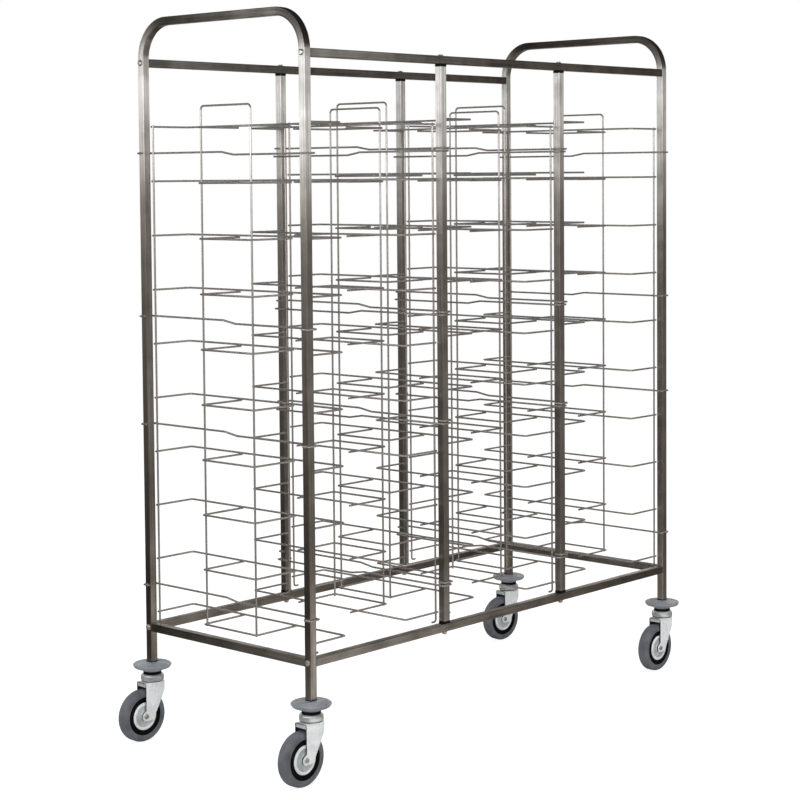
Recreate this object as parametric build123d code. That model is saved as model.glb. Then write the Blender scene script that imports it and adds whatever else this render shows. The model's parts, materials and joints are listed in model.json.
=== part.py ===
from build123d import *
import math
import os

# Tray rack trolley: a frame of square stainless tube on four swivel casters, with three bays.
# Each bay has a welded wire panel on both sides, and each panel has a column of tray ledges.
# Built with X along the length, Y from front to rear and Z up from the floor.
# At the end everything moves so that the origin is the centre of the footprint, on the floor.
# All sizes are in millimetres.

# Frame of square tube
bay_count = 3
bay_clear = 449.0
rack_depth = 580.0
tube = 20.0
tube_wall = 1.2
tube_corner = 2.0
bottom_rail_rise = 75.5
rail_spacing = 1398.8
handle_rise = 98.0
handle_bend = 90.0

# Plugs inside tubes, and the bolts that hold the frame together
plug_clearance = 0.1
rail_plug_depth = 26.0
rail_bolt = 8.0
rail_bolt_head = 14.5
rail_bolt_head_height = 4.5
rail_bolt_grip = 22.0
post_collar_height = 6.0
post_collar_lip = 0.5
post_plug_depth = 24.0
post_bolt = 6.0
post_bolt_head = 13.0
post_bolt_head_height = 3.5
post_foot_head_height = 8.0
post_bolt_grip = 20.0
hole_clearance = 0.2
thread_clearance = 0.05
socket_share = 0.36
socket_depth = 2.0

# Wire panels
wire = 5.0
weld_gap = 0.02
level_count = 10
level_pitch = 133.93
first_ledge_rise = 24.5
foot_gap = 0.3
ledge_reach = 119.0
ledge_post_gap = 0.3
ledge_side_gap = 0.2
ledge_bend = 6.5
bracket_overhang = 11.0
tight_bend = 4.0
hoop_width = 173.0
hoop_rise = 45.8
hoop_bend = 10.0
wire_tail = 4.5
front_upright_inset = 6.0
long_foot = 38.0
short_foot = 14.5
foot_bend = 6.0
cross_wire_bays = (0, 3, 5, 8)
cross_rise_rear = 2.0
cross_drop_front = 5.0
cross_jog = 43.0
jog_bend = 12.0
hook_gap = 0.3
hook_reach = 17.0
shared_post_lift = 14.0

# Casters, from the floor up
wheel_diameter = 128.0
tyre_width = 30.0
tyre_depth = 16.5
tyre_shoulder = 8.0
rim_depth = 7.0
rim_inset = 1.2
web_inset = 2.6
hub_disc_diameter = 69.0
hub_disc_height = 3.2
hub_disc_step = 1.8
hub_bead = 6.0
hub_boss_diameter = 27.0
bush_wall = 2.0
running_clearance = 0.05
wheel_side_gap = 1.7
axle = 8.0
axle_head = 13.0
axle_head_height = 4.0
axle_nut = 13.0
axle_nut_height = 6.5
axle_tail = 2.0
trail = 35.0
fork_sheet = 2.5
fork_bend = 4.0
fork_head_gap = 15.5
fork_rear = 34.0
fork_front = 23.8
fork_front_drop = 27.0
fork_front_slope = 1.9
fork_knee_rise = 11.0
fork_knee = 1.4
fork_end_radius = 11.5
fork_end_length = 16.0
fork_lip_depth = 11.0
fork_disc_diameter = 54.0
kingpin = 12.0
kingpin_head = 20.0
kingpin_head_height = 3.2
swivel_gap = 0.3
seal_height = 1.9
seal_width = 3.0
cup_diameter = 57.0
cup_height = 15.8
cup_wall = 3.0
cup_shoulder = 6.5
race_bore = 20.0
race_gap = 0.1
spacer_diameter = 45.0
spacer_height = 7.0
bumper_diameter = 97.0
bumper_height = 23.0
bumper_rim_height = 15.5
flange_height = 2.0
flange_lip = 0.5
expander_depth = 40.0
caster_angles = {"front_left": -0.5, "rear_left": -3.0, "rear_right": -6.0, "front_right": -0.5}

# Heights and places that follow from the sizes above
wheel_radius = wheel_diameter / 2
crown_under = wheel_diameter + fork_head_gap
crown_top = crown_under + fork_sheet
cup_bottom = crown_top + swivel_gap + seal_height
cup_top = cup_bottom + cup_height
bumper_bottom = cup_top + spacer_height
bumper_top = bumper_bottom + bumper_height
leg_bottom = bumper_top + flange_height
bay_pitch = bay_clear + tube
rack_length = bay_count * bay_pitch + tube
bottom_rail_z = leg_bottom + bottom_rail_rise + tube / 2
top_rail_z = bottom_rail_z + rail_spacing
post_bottom = bottom_rail_z + tube / 2
post_top = top_rail_z - tube / 2
handle_top = top_rail_z + tube / 2 + handle_rise
front_y = tube / 2
rear_y = rack_depth - tube / 2
left_x = tube / 2
right_x = rack_length - tube / 2
middle_y = rack_depth / 2
tube_bore = tube - 2 * tube_wall
plug_width = tube_bore - 2 * plug_clearance
panel_z = post_bottom + foot_gap + wire / 2
wire_step = wire + weld_gap

nodes = {}


def tube_section():
    outer = RectangleRounded(tube, tube, tube_corner)
    return outer - Rectangle(tube_bore, tube_bore)


def square_bar(width, height, corner=1.0):
    return extrude(RectangleRounded(width, width, corner), height)


def turned(points):
    return revolve(make_face(Polyline([(r, 0, z) for r, z in points], close=True)), Axis.Z)


def ring(outer, inner, height):
    return Cylinder(outer, height, align=BASE) - Cylinder(inner, height, align=BASE)


def bent(points, radius):
    path = FilletPolyline(points, radius=radius)
    return sweep(Plane(path ^ 0) * Circle(wire / 2), path)


def button_bolt(diameter, length, head, head_height):
    # Head on +Z of the origin, shank on -Z, with a six-sided socket in the flat of the head.
    edge = (head / 2, 0, head_height * 0.2)
    crown = (head * 0.27, 0, head_height)
    section = make_face(
        [
            Polyline((0, 0, -length), (diameter / 2, 0, -length), (diameter / 2, 0, 0), (head / 2, 0, 0), edge),
            ThreePointArc(edge, (head * 0.42, 0, head_height * 0.72), crown),
            Polyline(crown, (0, 0, head_height), (0, 0, -length)),
        ]
    )
    bolt = revolve(section, Axis.Z)
    socket = extrude(RegularPolygon(head * socket_share / 2, 6), socket_depth)
    return bolt - Pos(0, 0, head_height - socket_depth) * socket


def placed(shapes, place):
    return [place * shape for shape in shapes]


BASE = (Align.CENTER, Align.CENTER, Align.MIN)


# End frames: one tube makes both legs and the push handle above them.
def end_frame(x):
    low = leg_bottom
    high = handle_top - tube / 2
    path = FilletPolyline(
        [(x, front_y, low), (x, front_y, high), (x, rear_y, high), (x, rear_y, low)],
        radius=handle_bend,
    )
    start = Plane(origin=(x, front_y, low), x_dir=(1, 0, 0), z_dir=(0, 0, 1))
    frame = sweep(start * tube_section(), path)
    hole = Cylinder(rail_bolt / 2 + hole_clearance, tube * 2)
    for y in (front_y, rear_y):
        for z in (bottom_rail_z, top_rail_z):
            frame -= Pos(x, y, z) * Rot(0, 90, 0) * hole
    return frame


nodes["left_end_frame"] = [end_frame(left_x)]
nodes["right_end_frame"] = [end_frame(right_x)]


# Rails: the short ones are welded between the legs, the long ones are bolted end-on.
def rail(start, direction, length, holes):
    plane = Plane(origin=start, x_dir=(0, 0, 1), z_dir=direction)
    bar = extrude(plane * tube_section(), length)
    for x in holes:
        bar -= Pos(x, start[1], start[2]) * Cylinder(post_bolt / 2 + hole_clearance, tube * 2)
    return bar


inner_depth = rack_depth - 2 * tube
inner_length = rack_length - 2 * tube
post_xs = [left_x + bay_pitch * bay for bay in range(1, bay_count)]
nodes["left_bottom_rail"] = [rail((left_x, tube, bottom_rail_z), (0, 1, 0), inner_depth, [])]
nodes["right_bottom_rail"] = [rail((right_x, tube, bottom_rail_z), (0, 1, 0), inner_depth, [])]
for side, y in (("front", front_y), ("rear", rear_y)):
    for level, z in (("top", top_rail_z), ("bottom", bottom_rail_z)):
        nodes[f"{side}_{level}_rail"] = [rail((tube, y, z), (1, 0, 0), inner_length, post_xs)]

# Threaded plugs in the rail ends, and the bolts that come in through the legs
rail_plug = square_bar(plug_width, rail_plug_depth)
rail_plug -= Cylinder(rail_bolt / 2 + thread_clearance, rail_plug_depth, align=BASE)
rail_screw = button_bolt(rail_bolt, tube + rail_bolt_grip, rail_bolt_head, rail_bolt_head_height)
nodes["rail_end_plugs"] = []
nodes["rail_bolts"] = []
for y in (front_y, rear_y):
    for z in (bottom_rail_z, top_rail_z):
        nodes["rail_end_plugs"].append(Pos(tube, y, z) * Rot(0, 90, 0) * rail_plug)
        nodes["rail_end_plugs"].append(Pos(rack_length - tube, y, z) * Rot(0, -90, 0) * rail_plug)
        nodes["rail_bolts"].append(Pos(0, y, z) * Rot(0, -90, 0) * rail_screw)
        nodes["rail_bolts"].append(Pos(rack_length, y, z) * Rot(0, 90, 0) * rail_screw)

# Intermediate posts, each with a collared cap at both ends and a bolt through the rail.
# The bolts below the bottom rails have taller domed heads than those on the top rails.
post_length = post_top - post_bottom - 2 * post_collar_height
post_cap = square_bar(tube + 2 * post_collar_lip, post_collar_height, tube_corner)
post_cap += Pos(0, 0, post_collar_height) * square_bar(plug_width, post_plug_depth)
post_cap -= Cylinder(post_bolt / 2 + thread_clearance, post_collar_height + post_plug_depth, align=BASE)
post_screw_length = tube + post_collar_height + post_bolt_grip
top_screw = button_bolt(post_bolt, post_screw_length, post_bolt_head, post_bolt_head_height)
foot_screw = button_bolt(post_bolt, post_screw_length, post_bolt_head, post_foot_head_height)
post_names = ["left", "right"] if bay_count == 3 else [f"number_{bay}" for bay in range(1, bay_count)]
nodes["post_caps"] = []
nodes["post_bolts"] = []
for side, y in (("front", front_y), ("rear", rear_y)):
    for name, x in zip(post_names, post_xs):
        post = Pos(x, y, post_bottom + post_collar_height) * extrude(tube_section(), post_length)
        nodes[f"{side}_{name}_mid_post"] = [post]
        nodes["post_caps"].append(Pos(x, y, post_bottom) * post_cap)
        nodes["post_caps"].append(Pos(x, y, post_top) * Rot(180, 0, 0) * post_cap)
        nodes["post_bolts"].append(Pos(x, y, post_bottom - tube) * Rot(180, 0, 0) * foot_screw)
        nodes["post_bolts"].append(Pos(x, y, post_top + tube) * top_screw)

# One wire panel. Here x = 0 is the face of the posts, y = 0 the front of the rack and
# z = 0 the centre of the wire in the two feet. Welded wires lie side by side.
arm_y = tube + ledge_side_gap + wire / 2
upright_y = arm_y + wire_step
upright_x = wire / 2
cross_x = upright_x + wire_step
bracket_x = upright_x - wire_step
bracket_y = hoop_width / 2 + wire_step
ledge_zs = [first_ledge_rise + level_pitch * level for level in range(level_count)]
upright_top = ledge_zs[-1] + wire_tail
hoop_bottom = ledge_zs[0] - wire_step - wire_tail
hoop_top = ledge_zs[-1] + hoop_rise
hook_y = -(hook_gap + wire / 2)
hook_x = -(tube + hook_gap + wire / 2)


def upright(x, y, foot):
    return bent([(x, y, upright_top), (x, y, 0), (x + foot, y, 0)], foot_bend)


def hoop():
    front = middle_y - hoop_width / 2
    rear = middle_y + hoop_width / 2
    return bent(
        [
            (upright_x, front, hoop_bottom),
            (upright_x, front, hoop_top),
            (upright_x, rear, hoop_top),
            (upright_x, rear, hoop_bottom),
        ],
        hoop_bend,
    )


def ledge(z):
    return bent(
        [
            (-front_upright_inset - wire / 2, arm_y, z),
            (ledge_reach, arm_y, z),
            (ledge_reach, rack_depth - arm_y, z),
            (ledge_post_gap, rack_depth - arm_y, z),
        ],
        ledge_bend,
    )


def bracket(z):
    end = ledge_reach + bracket_overhang
    return bent(
        [
            (end, middle_y - bracket_y, z),
            (bracket_x, middle_y - bracket_y, z),
            (bracket_x, middle_y + bracket_y, z),
            (end, middle_y + bracket_y, z),
        ],
        tight_bend,
    )


def cross_wire(z):
    rear_z = z + cross_rise_rear
    front_z = z - cross_drop_front
    return bent(
        [
            (hook_x, rack_depth - hook_reach, rear_z),
            (hook_x, rack_depth - hook_y, rear_z),
            (cross_x, rack_depth - hook_y, rear_z),
            (cross_x, middle_y + cross_jog / 2, rear_z),
            (cross_x, middle_y - cross_jog / 2, front_z),
            (cross_x, hook_y, front_z),
            (hook_x, hook_y, front_z),
            (hook_x, hook_reach, front_z),
        ],
        [tight_bend, tight_bend, jog_bend, jog_bend, tight_bend, tight_bend],
    )


panel = [
    upright(-front_upright_inset, upright_y, long_foot),
    upright(upright_x, rack_depth - upright_y, short_foot),
    hoop(),
]
panel += [ledge(z) for z in ledge_zs]
panel += [bracket(z - wire_step) for z in ledge_zs]
panel += [cross_wire(ledge_zs[level] + level_pitch / 2) for level in cross_wire_bays]

# The same panel stands on both sides of each bay, turned half round on the right.
# Where it shares its posts with the panel of the bay before, the left one hangs higher.
for bay in range(bay_count):
    lift = shared_post_lift if bay > 0 else 0.0
    left_face = tube + bay_pitch * bay
    left_place = Pos(left_face, 0, panel_z + lift)
    right_place = Pos(left_face + bay_clear, rack_depth, panel_z) * Rot(0, 0, 180)
    nodes[f"bay_{bay + 1}_left_panel"] = placed(panel, left_place)
    nodes[f"bay_{bay + 1}_right_panel"] = placed(panel, right_place)

# Casters. Here the swivel axis is x = 0, y = 0, z = 0 is the floor, and the wheel trails to -X.
pin_bore = kingpin / 2 + thread_clearance
expander = Pos(0, 0, bumper_top) * square_bar(tube + 2 * flange_lip, flange_height, tube_corner)
expander += Pos(0, 0, leg_bottom) * square_bar(plug_width, expander_depth)
expander -= Pos(0, 0, bumper_top) * Cylinder(pin_bore, flange_height + expander_depth, align=BASE)

stem_bottom = crown_under - swivel_gap - kingpin_head_height
stem = Pos(0, 0, stem_bottom) * Cylinder(
    kingpin / 2, leg_bottom + expander_depth - stem_bottom, align=BASE
)
stem += Pos(0, 0, stem_bottom) * Cylinder(kingpin_head / 2, kingpin_head_height, align=BASE)

# Bumper: a lens with a thin rim, and a hub below it that stands on the spacer
rim_z = bumper_bottom + bumper_rim_height
bumper_outline = FilletPolyline(
    [
        (pin_bore, 0, bumper_bottom),
        (spacer_diameter / 2, 0, bumper_bottom),
        (spacer_diameter / 2 + 2.5, 0, bumper_bottom + bumper_rim_height * 0.27),
        (bumper_diameter / 2 - 5.0, 0, bumper_bottom + bumper_rim_height * 0.55),
        (bumper_diameter / 2, 0, rim_z),
        (bumper_diameter / 2 - 3.5, 0, rim_z + (bumper_top - rim_z) * 0.45),
        (bumper_diameter / 2 - 22.0, 0, bumper_top - 0.5),
        (tube / 2 * 1.6, 0, bumper_top),
        (pin_bore, 0, bumper_top),
    ],
    radius=[0, 2.0, 5.0, 2.2, 3.0, 12.0, 0],
)
bumper = revolve(make_face([bumper_outline, Line(bumper_outline @ 1, bumper_outline @ 0)]), Axis.Z)

spacer = Pos(0, 0, cup_top) * ring(spacer_diameter / 2, pin_bore, spacer_height)

# Swivel cup: a bright pressed cap over the bearing, open below
cup_radius = cup_diameter / 2
cup_outline = FilletPolyline(
    [
        (cup_radius - 1.0, 0, cup_bottom),
        (cup_radius, 0, cup_bottom + 2.5),
        (cup_radius, 0, cup_top),
        (pin_bore, 0, cup_top),
        (pin_bore, 0, cup_top - cup_wall),
        (cup_radius - cup_wall, 0, cup_top - cup_wall),
        (cup_radius - cup_wall, 0, cup_bottom),
    ],
    radius=[0.8, cup_shoulder, 0, 0, cup_shoulder - cup_wall],
)
cup = revolve(make_face([cup_outline, Line(cup_outline @ 1, cup_outline @ 0)]), Axis.Z)

seal_outer = cup_radius - 1.5
seal = Pos(0, 0, crown_top + swivel_gap) * ring(seal_outer, seal_outer - seal_width, seal_height)

race_outer = min(cup_radius - cup_wall - race_gap, seal_outer - seal_width - race_gap) - 1.0
race_height = cup_top - cup_wall - race_gap - crown_top - swivel_gap
race = Pos(0, 0, crown_top + swivel_gap) * ring(race_outer, race_bore / 2, race_height)

# Fork: a pressed U whose legs taper to a rounded end at the axle
fork_inner = tyre_width + 2 * wheel_side_gap
fork_outer = fork_inner + 2 * fork_sheet
section_height = crown_top - wheel_radius + fork_end_radius
u_outer = Pos(0, -section_height / 2) * Rectangle(fork_outer, section_height)
u_outer = fillet(u_outer.vertices().group_by(Axis.Y)[-1], fork_bend)
u_inner = Pos(0, -section_height / 2 - fork_sheet) * Rectangle(fork_inner, section_height)
u_inner = fillet(u_inner.vertices().group_by(Axis.Y)[-1], fork_bend - fork_sheet)
section_plane = Plane(origin=(-100, 0, crown_top), x_dir=(0, 1, 0), z_dir=(1, 0, 0))
fork = extrude(section_plane * (u_outer - u_inner), 200)
side = Polygon(
    (-fork_rear, wheel_radius),
    (-trail + fork_end_length + fork_end_radius, wheel_radius),
    (-fork_knee, wheel_radius + fork_knee_rise),
    (fork_front - fork_front_slope, crown_top - fork_front_drop),
    (fork_front, crown_top),
    (-fork_rear, crown_top),
    align=None,
)
side += Pos(-trail + fork_end_length / 2, wheel_radius) * SlotCenterToCenter(
    fork_end_length, 2 * fork_end_radius
)
side_plane = Plane(origin=(0, 50, 0), x_dir=(1, 0, 0), z_dir=(0, -1, 0))
fork = fork & extrude(side_plane * side, 100)
fork += Pos(0, 0, crown_under) * Cylinder(fork_disc_diameter / 2, fork_sheet, align=BASE)
fork += Pos(-fork_rear, 0, crown_top) * Box(
    fork_sheet, fork_inner + fork_sheet, fork_lip_depth, align=(Align.MIN, Align.CENTER, Align.MAX)
)
fork -= Pos(0, 0, crown_under) * Cylinder(kingpin / 2 + running_clearance, fork_sheet, align=BASE)
across = Pos(-trail, 0, wheel_radius) * Rot(90, 0, 0)
fork -= across * Cylinder(axle / 2 + thread_clearance, fork_outer * 2)

# Axle: a bolt with its head on the -Y leg and a nut on the other
axle_length = fork_outer + axle_nut_height + axle_tail
axle_bolt = Pos(0, 0, fork_outer / 2) * button_bolt(axle, axle_length, axle_head, axle_head_height)
nut = extrude(RegularPolygon(axle_nut / 2, 6, major_radius=False), axle_nut_height)
nut -= Cylinder(axle / 2 + thread_clearance, axle_nut_height, align=BASE)
nut = Pos(0, 0, -fork_outer / 2 - axle_nut_height) * nut

bush_radius = axle / 2 + thread_clearance + bush_wall
bush = Pos(0, 0, -fork_inner / 2) * ring(bush_radius, axle / 2 + thread_clearance, fork_inner)

# Wheel: a grey tyre on a black core, with a stepped bright disc on both sides
core_radius = wheel_radius - tyre_depth
half = tyre_width / 2
rim_half = half - rim_inset
web_half = half - web_inset
core_bore = bush_radius + running_clearance
core = turned(
    [
        (core_bore, -web_half),
        (core_radius - rim_depth, -web_half),
        (core_radius - rim_depth, -rim_half),
        (core_radius, -rim_half),
        (core_radius, rim_half),
        (core_radius - rim_depth, rim_half),
        (core_radius - rim_depth, web_half),
        (core_bore, web_half),
    ]
)
tyre_section = Pos(core_radius + tyre_depth / 2, 0) * Rectangle(tyre_depth, tyre_width)
tyre_section = fillet(tyre_section.vertices().group_by(Axis.X)[-1], tyre_shoulder)
tyre_section = fillet(tyre_section.vertices().group_by(Axis.X)[0], 0.8)
tyre = revolve(Plane.XZ * tyre_section, Axis.Z)

disc_radius = hub_disc_diameter / 2
disc_top = web_half + hub_disc_height
disc_low = disc_top - hub_disc_step
boss_radius = hub_boss_diameter / 2
hub_disc = turned(
    [
        (core_bore, web_half),
        (disc_radius, web_half),
        (disc_radius, web_half + 1.0),
        (disc_radius - 1.5, web_half + 1.2),
        (disc_radius - 2.2, disc_top - 0.5),
        (disc_radius - 3.0, disc_top),
        (disc_radius - hub_bead, disc_top),
        (disc_radius - hub_bead - 1.2, disc_low),
        (boss_radius + 1.6, disc_low),
        (boss_radius - 0.4, disc_top),
        (boss_radius - 3.5, disc_top),
        (boss_radius - 4.5, disc_low),
        (core_bore, disc_low),
    ]
)

caster_nodes = ("caster_expanders", "caster_stems", "bumper_spacers", "swivel_seals", "swivel_races")
for name in caster_nodes:
    nodes[name] = []
for corner, angle in caster_angles.items():
    x = left_x if "left" in corner else right_x
    y = front_y if "front" in corner else rear_y
    fixed = Pos(x, y, 0)
    swivel = fixed * Rot(0, 0, angle)
    spin = swivel * across
    for name, shape in zip(caster_nodes, (expander, stem, spacer, seal, race)):
        nodes[name].append(fixed * shape)
    nodes[f"{corner}_bumper"] = [fixed * bumper]
    nodes[f"{corner}_cup"] = [fixed * cup]
    nodes[f"{corner}_fork"] = [swivel * fork]
    nodes[f"{corner}_axle"] = placed([axle_bolt, nut], spin)
    nodes[f"{corner}_bush"] = [spin * bush]
    nodes[f"{corner}_wheel_core"] = [spin * core]
    nodes[f"{corner}_hub_discs"] = [spin * hub_disc, spin * Rot(180, 0, 0) * hub_disc]
    nodes[f"{corner}_tyre"] = [spin * tyre]

# Move the origin to the centre of the footprint on the floor, and write one file for each node.
everything = Compound(children=[shape for shapes in nodes.values() for shape in shapes])
bounds = everything.bounding_box()
shift = (-bounds.center().X, -bounds.center().Y, -bounds.min.Z)
os.makedirs("parts", exist_ok=True)
for name, shapes in nodes.items():
    solids = [Pos(*shift) * solid for shape in shapes for solid in shape.solids()]
    export_step(Compound(children=solids), f"parts/{name}.step")
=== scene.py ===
# %% [markdown]
# # A tray rack trolley, dressed in Blender
# The trolley is a frame of square stainless tube on four swivel casters. Its three bays hold wire
# panels with ledges for trays. The sizes and joints are already settled in a solid model, which is
# loaded here as a fixed frame. This file gives every piece the smooth surface and the finish that
# the real one has, then sets up a studio to look at it.

# %% Load the frame
import bpy
import numpy as np
import json
from mathutils import Matrix, Vector


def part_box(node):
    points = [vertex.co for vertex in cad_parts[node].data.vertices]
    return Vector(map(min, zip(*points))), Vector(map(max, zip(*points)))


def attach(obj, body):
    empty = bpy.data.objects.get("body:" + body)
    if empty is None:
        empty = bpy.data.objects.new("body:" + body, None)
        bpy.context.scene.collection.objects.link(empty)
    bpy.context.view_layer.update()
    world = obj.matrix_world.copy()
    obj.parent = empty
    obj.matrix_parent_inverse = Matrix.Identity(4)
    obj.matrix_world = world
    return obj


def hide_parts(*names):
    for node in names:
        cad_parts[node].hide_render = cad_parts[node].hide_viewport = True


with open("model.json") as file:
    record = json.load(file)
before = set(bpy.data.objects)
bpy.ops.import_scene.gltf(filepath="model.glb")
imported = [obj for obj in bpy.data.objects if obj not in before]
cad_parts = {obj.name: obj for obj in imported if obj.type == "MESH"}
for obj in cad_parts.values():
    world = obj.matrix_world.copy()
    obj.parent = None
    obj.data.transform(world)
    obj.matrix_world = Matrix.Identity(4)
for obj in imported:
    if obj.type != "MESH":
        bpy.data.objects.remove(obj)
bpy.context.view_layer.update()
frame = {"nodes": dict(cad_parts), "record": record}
nodes = frame["nodes"]
joints = {joint["name"]: joint for joint in frame["record"]["behaviour"]["joints"]}
print("solids in the frame:", len(nodes), "joints:", len(joints))

# %% [markdown]
# Workshop drawings of a rack count from its own corner: X from the outer face of the left legs,
# Y from the front face and Z from the floor, in millimetres. The frame's origin lies elsewhere, at
# the centre of the footprint, so one small function carries points from the drawing to the scene.
# Every piece below is written in drawing sizes, which keeps the numbers readable.

# %% Drawing sizes and the way from the drawing to the scene
corner = np.array(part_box("left_end_frame")[0])
shift = np.array([corner[0], corner[1], 0.0])
far = np.array(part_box("right_end_frame")[1]) - shift
length, depth = round(far[0] * 1000, 2), round(far[1] * 1000, 2)
tube = 20.0
bays = 3
bay_clear = (length - tube * (bays + 1)) / bays
bay_pitch = bay_clear + tube
leg_bottom = 196.0
low_rail, high_rail, handle_top = 281.5, 1680.3, 1788.3
post_low, post_high = low_rail + tube / 2, high_rail - tube / 2


def to_scene(points):
    """Drawing millimetres to scene metres: divide by a thousand and add the corner's place."""
    return np.asarray(points, float) / 1000 + shift


print("length", length, "depth", depth, "bay", round(bay_clear, 2))

# %% [markdown]
# Most pieces of the trolley are one outline carried along a path: square tube round the bend of
# the handle, round wire round the corner of a ledge. Blender's curve bevel could do that, but it
# turns a square profile as it goes round corners in space. Here the path is worked out first, as
# straight runs joined by arcs that touch them, which is how a tube bender makes it.

# %% Paths of straight runs and arcs
nearly_straight = 1.57


def rounded_path(corners, radii, steps=7):
    """Straight runs joined by arcs. Each arc is centre + r (u cos t + v sin t), where u points from
    the centre to the first tangent point and v is the direction of travel there."""
    c = np.asarray(corners, float)
    radii = np.broadcast_to(radii, (len(c) - 2,))
    out = [c[:1]]
    for p, q, s, r in zip(c[:-2], c[1:-1], c[2:], radii):
        a, b = (p - q) / np.linalg.norm(p - q), (s - q) / np.linalg.norm(s - q)
        half = np.arccos(np.clip(a @ b, -1, 1)) / 2
        if r <= 0 or half > nearly_straight:
            out.append(q[None])
            continue
        start = q + a * r / np.tan(half)
        centre = q + (a + b) / np.linalg.norm(a + b) * r / np.sin(half)
        t = np.linspace(0, np.pi - 2 * half, steps)[:, None]
        out.append(centre + np.cos(t) * (start - centre) - np.sin(t) * a * r)
    out.append(c[-1:])
    return np.vstack(out)


def travel(path):
    """Unit direction at each point: the mean of the directions of the two runs that meet there."""
    step = np.diff(path, axis=0)
    step = step / np.linalg.norm(step, axis=1)[:, None]
    mean = np.vstack([step[:1], step[:-1] + step[1:], step[-1:]])
    return mean / np.linalg.norm(mean, axis=1)[:, None]


def sides(path, first):
    """Two directions square to the path at each point. The first one starts as given and only
    turns as much as the path makes it, so a square tube never twists."""
    along = travel(path)
    normal = np.array(first, float)
    rows = []
    for t in along:
        normal = normal - (normal @ t) * t
        normal = normal / np.linalg.norm(normal)
        rows.append(normal)
    normals = np.array(rows)
    return along, normals, np.cross(along, normals)


# %% [markdown]
# A mesh needs faces, shading directions and a map for the grain. The points of nearly every piece
# lie on a grid, so one function numbers the faces of a grid, and another closes its end with a fan
# of triangles round one point.


# %% Faces of grids and fans
def grid_faces(rows, cols, wrap_rows=False, wrap_cols=True):
    """Quads (i, j), (i, j + 1), (i + 1, j + 1), (i + 1, j) of a grid of points. A direction that
    wraps joins its last line of points to its first."""
    lines = np.arange(rows if wrap_rows else rows - 1), np.arange(cols if wrap_cols else cols - 1)
    i, j = np.meshgrid(*lines, indexing="ij")
    k, m = (j + 1) % cols, (i + 1) % rows
    return np.stack([i * cols + j, i * cols + k, m * cols + k, m * cols + j], -1).reshape(-1, 4)


def fan(start, count, hub):
    """Triangles (j, j + 1, hub) from a ring of count points, numbered from start, to one point."""
    j = np.arange(count)
    return np.stack([start + j, start + (j + 1) % count, np.full(count, hub)], -1)


def stacked(parts):
    """Several (points, faces) as one: the faces of each part count on from the parts before it."""
    verts, faces, start = [], [], 0
    for v, f in parts:
        faces += [[index + start for index in face] for face in f]
        start += len(v)
        verts.append(v)
    return np.vstack(verts), faces


def moved(verts, place):
    """Points carried by a 4 by 4 matrix."""
    return (np.c_[verts, np.ones(len(verts))] @ np.asarray(place, float).T)[:, :3]


# %% [markdown]
# The grain of drawn tube and wire runs along the piece and follows it round every bend, so the
# map's U goes across the grain and V along it, both in metres. The shading directions are set by
# formula instead of being averaged by Blender, because averaging makes the flats of a square tube
# look swollen beside its round edges.


# %% Meshes from arrays
def make_mesh(name, verts, faces, normals=None, uvs=None):
    """Object from arrays. normals and uvs have one row for each corner of each face, in order."""
    mesh = bpy.data.meshes.new(name)
    mesh.from_pydata(np.asarray(verts).tolist(), [], faces)
    if uvs is not None:
        layer = mesh.uv_layers.new(name="grain")
        layer.data.foreach_set("uv", np.asarray(uvs, np.float32).ravel())
    mesh.polygons.foreach_set("use_smooth", np.ones(len(mesh.polygons), bool))
    if normals is not None:
        mesh.normals_split_custom_set(np.asarray(normals, float).tolist())
    mesh.update()
    obj = bpy.data.objects.new(name, mesh)
    bpy.context.scene.collection.objects.link(obj)
    return obj


def square_outline(size, radius, steps=5):
    """Corner arcs of a rounded square: points and their outward directions, anticlockwise."""
    t = np.linspace(0, np.pi / 2, steps)
    angle = (np.arange(4)[:, None] * np.pi / 2 + t[None]).ravel()
    signs = np.stack([np.repeat([1, -1, -1, 1], steps), np.repeat([1, 1, -1, -1], steps)], axis=1)
    out = np.stack([np.cos(angle), np.sin(angle)], axis=1)
    return (size / 2 - radius) * signs + radius * out, out


def round_outline(diameter, count=14):
    """Circle: points and their outward directions, anticlockwise."""
    angle = np.arange(count) / count * 2 * np.pi
    out = np.stack([np.cos(angle), np.sin(angle)], axis=1)
    return out * diameter / 2, out


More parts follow.
